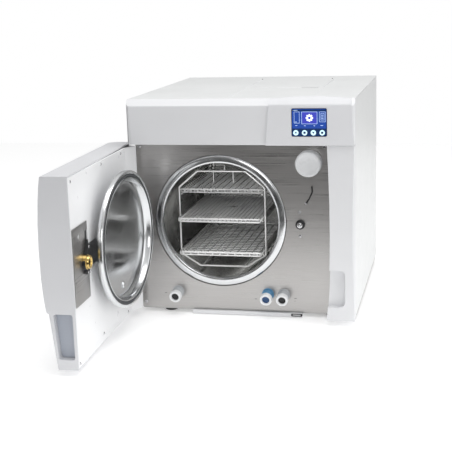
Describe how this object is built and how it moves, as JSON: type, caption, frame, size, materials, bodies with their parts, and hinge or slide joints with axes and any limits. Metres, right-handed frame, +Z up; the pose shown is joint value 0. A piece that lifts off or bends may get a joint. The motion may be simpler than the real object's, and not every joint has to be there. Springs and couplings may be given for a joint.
{
  "type": "benchtop autoclave",
  "caption": "Front-opening benchtop steam steriliser: round chamber with wire trays, hinged door with dished lid, screw lock, display hood, hose ports and top water tanks.",
  "frame": {"origin": "centre of the bounding box at the surface the feet stand on, with the door open as in the rest pose", "axes": "+Z up, +X to the right seen from the front, +Y to the back, front faces -Y"},
  "size_m": [0.5442, 0.8982, 0.474],
  "materials": {
    "sheet_steel": "zinc-plated sheet",
    "white_paint": "smooth white powder coat",
    "foot_rubber": "matt black rubber",
    "pale_grey_plastic": "fine satin moulding",
    "module_plastic": "fine satin moulding",
    "display": "clear cover over a colour display",
    "brushed_stainless": "horizontal brushed grain",
    "chamber_steel": "polished stainless",
    "lid_steel": "mirror-polished stainless",
    "wire_steel": "electropolished wire",
    "door_plastic": "satin white moulding",
    "door_cover_paint": "smooth white coat",
    "black_casting": "black coated casting",
    "seal_rubber": "grey silicone",
    "brass": "turned brass",
    "bronze": "turned bronze",
    "spindle_steel": "ground steel",
    "hinge_steel": "satin steel",
    "motor_metal": "dark painted housing",
    "port_grey": "grey moulding",
    "port_blue": "blue moulding",
    "port_white": "white moulding",
    "insulation": "glass-fibre felt",
    "tank_plastic": "translucent moulding",
    "circuit_board": "green board with components",
    "condenser_aluminium": "plain fins",
    "heater_rubber": "silicone heater mat",
    "black_plastic": "black moulding"
  },
  "bodies": {
    "housing": {"base_pan": "sheet_steel", "side_panel_left": "white_paint", "side_panel_right": "white_paint", "rear_panel": "white_paint", "top_cover": "white_paint", "foot_front_left": "foot_rubber", "foot_rear_left": "foot_rubber", "foot_front_right": "foot_rubber", "foot_rear_right": "foot_rubber", "hood": "pale_grey_plastic", "display_module": "module_plastic", "display_screen": "display", "right_column": "pale_grey_plastic", "front_plate": "brushed_stainless", "lock_bush": "black_plastic", "lock_motor": "motor_metal", "filter_socket": "pale_grey_plastic", "port_body_left": "port_grey", "port_body_blue": "port_blue", "port_body_right": "port_grey", "chamber_ring": "chamber_steel", "chamber_vessel": "chamber_steel", "chamber_insulation": "insulation", "heater_band": "heater_rubber", "clean_water_tank": "tank_plastic", "used_water_tank": "tank_plastic", "steam_generator": "sheet_steel", "vacuum_pump": "motor_metal", "water_pump": "motor_metal", "valve_block": "brass", "safety_valve": "brass", "control_board": "circuit_board", "condenser": "condenser_aluminium", "fan_frame": "black_plastic", "power_inlet": "black_plastic", "hinge_bracket": "hinge_steel", "hinge_pin": "spindle_steel"},
    "tank_lid": {"tank_lid": "white_paint"},
    "dust_filter": {"dust_filter": "pale_grey_plastic"},
    "fan_rotor": {"fan_rotor": "black_plastic"},
    "power_switch": {"power_switch": "black_plastic"},
    "lock_carriage": {"lock_carriage": "brass"},
    "lock_spindle": {"lock_spindle": "spindle_steel"},
    "filter_cap": {"filter_cap": "port_white"},
    "port_collar_left": {"port_collar_left": "port_white"},
    "port_collar_blue": {"port_collar_blue": "port_white"},
    "port_collar_right": {"port_collar_right": "port_white"},
    "rack": {"rack": "wire_steel"},
    "tray_top": {"tray_top": "wire_steel"},
    "tray_middle": {"tray_middle": "wire_steel"},
    "tray_bottom": {"tray_bottom": "wire_steel"},
    "door": {"door_shell": "door_plastic", "door_inner_cover": "door_cover_paint", "yoke": "black_casting", "lid_pivot": "bronze", "lock_plate": "brushed_stainless", "lock_nut": "brass"},
    "lid": {"lid": "lid_steel", "lid_seal": "seal_rubber"}
  },
  "joints": [
    {"name": "door_swing", "type": "hinge", "parent": "housing", "child": "door", "pos_m": [-0.1819, -0.0511, 0.206], "axis": [0, 0, -1], "range_deg": [-88.3, 11.7]},
    {"name": "lid_tilt", "type": "hinge", "parent": "door", "child": "lid", "pos_m": [-0.18248, -0.21369, 0.206], "axis": [0, 0, -1], "range_deg": [-5.9, 0.78]},
    {"name": "lock_spindle_advance", "type": "slide", "parent": "housing", "child": "lock_carriage", "axis": [0, -1, 0], "range_m": [0, 0.036]},
    {"name": "lock_spindle_turn", "type": "hinge", "parent": "lock_carriage", "child": "lock_spindle", "pos_m": [0.1526, -0.0365, 0.202], "axis": [0, -1, 0], "range_deg": [0, 2160]},
    {"name": "filter_cap_turn", "type": "hinge", "parent": "housing", "child": "filter_cap", "pos_m": [0.1736, -0.0535, 0.334], "axis": [0, -1, 0], "range_deg": [0, 90]},
    {"name": "port_collar_left_push", "type": "slide", "parent": "housing", "child": "port_collar_left", "axis": [0, 0.9877, 0.1564], "range_m": [0, 0.002], "stiffness_N_per_m": 900},
    {"name": "port_collar_blue_push", "type": "slide", "parent": "housing", "child": "port_collar_blue", "axis": [0, 0.9877, 0.1564], "range_m": [0, 0.002], "stiffness_N_per_m": 900},
    {"name": "port_collar_right_push", "type": "slide", "parent": "housing", "child": "port_collar_right", "axis": [0, 0.9877, 0.1564], "range_m": [0, 0.002], "stiffness_N_per_m": 900},
    {"name": "rack_slide", "type": "slide", "parent": "housing", "child": "rack", "axis": [0, -1, 0], "range_m": [-0.02, 0.25]},
    {"name": "tray_top_slide", "type": "slide", "parent": "rack", "child": "tray_top", "axis": [0, -1, 0], "range_m": [-0.03, 0.15]},
    {"name": "tray_middle_slide", "type": "slide", "parent": "rack", "child": "tray_middle", "axis": [0, -1, 0], "range_m": [-0.06, 0.15]},
    {"name": "tray_bottom_slide", "type": "slide", "parent": "rack", "child": "tray_bottom", "axis": [0, -1, 0], "range_m": [-0.06, 0.15]},
    {"name": "tank_lid_lift", "type": "hinge", "parent": "housing", "child": "tank_lid", "pos_m": [0.0926, 0.3615, 0.4706], "axis": [-1, 0, 0], "range_deg": [0, 100]},
    {"name": "dust_filter_slide", "type": "slide", "parent": "housing", "child": "dust_filter", "axis": [0, -1, 0], "range_m": [0, 0.25]},
    {"name": "fan_spin", "type": "hinge", "parent": "housing", "child": "fan_rotor", "pos_m": [-0.0394, 0.4225, 0.186], "axis": [0, 1, 0], "continuous": true},
    {"name": "power_switch_rock", "type": "hinge", "parent": "housing", "child": "power_switch", "pos_m": [0.1966, 0.4465, 0.12], "axis": [1, 0, 0], "range_deg": [0, 16]}
  ],
  "couplings": [
    {"joint": "lid_tilt", "follows": "door_swing", "ratio": 0.066818},
    {"joint": "lock_spindle_turn", "follows": "lock_spindle_advance", "rad_per_m": 1047.2}
  ]
}
